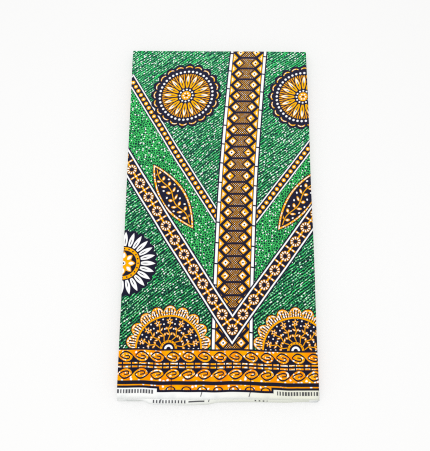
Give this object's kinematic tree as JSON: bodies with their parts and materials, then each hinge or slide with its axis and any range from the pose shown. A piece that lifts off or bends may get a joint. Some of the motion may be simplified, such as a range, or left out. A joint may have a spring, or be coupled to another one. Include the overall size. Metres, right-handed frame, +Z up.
{
  "type": "folded ankara fabric",
  "caption": "Length of wax-print cotton cloth, folded in half and then to and fro into a flat rectangular pack, print side up, with white selvages at one edge.",
  "frame": {"origin": "centre of the rectangle that the pack rests on, on the surface", "axes": "+X across the pack, +Y from the selvages to the centre fold, +Z up, print side up"},
  "size_m": [0.305, 0.5904, 0.018],
  "materials": {
    "face_print": "wax-printed cotton, crisp, with a faint starch sheen; green, navy, orange and white",
    "selvage": "unprinted white cotton selvage",
    "folded_edges": "edges of folded wax-printed cotton plies",
    "under_print": "wax-printed cotton, lowest ply of the pack"
  },
  "bodies": {
    "root": {"face_ply": "face_print", "under_ply": "selvage", "fold_stack": "folded_edges", "base_ply": "under_print"}
  },
  "joints": []
}
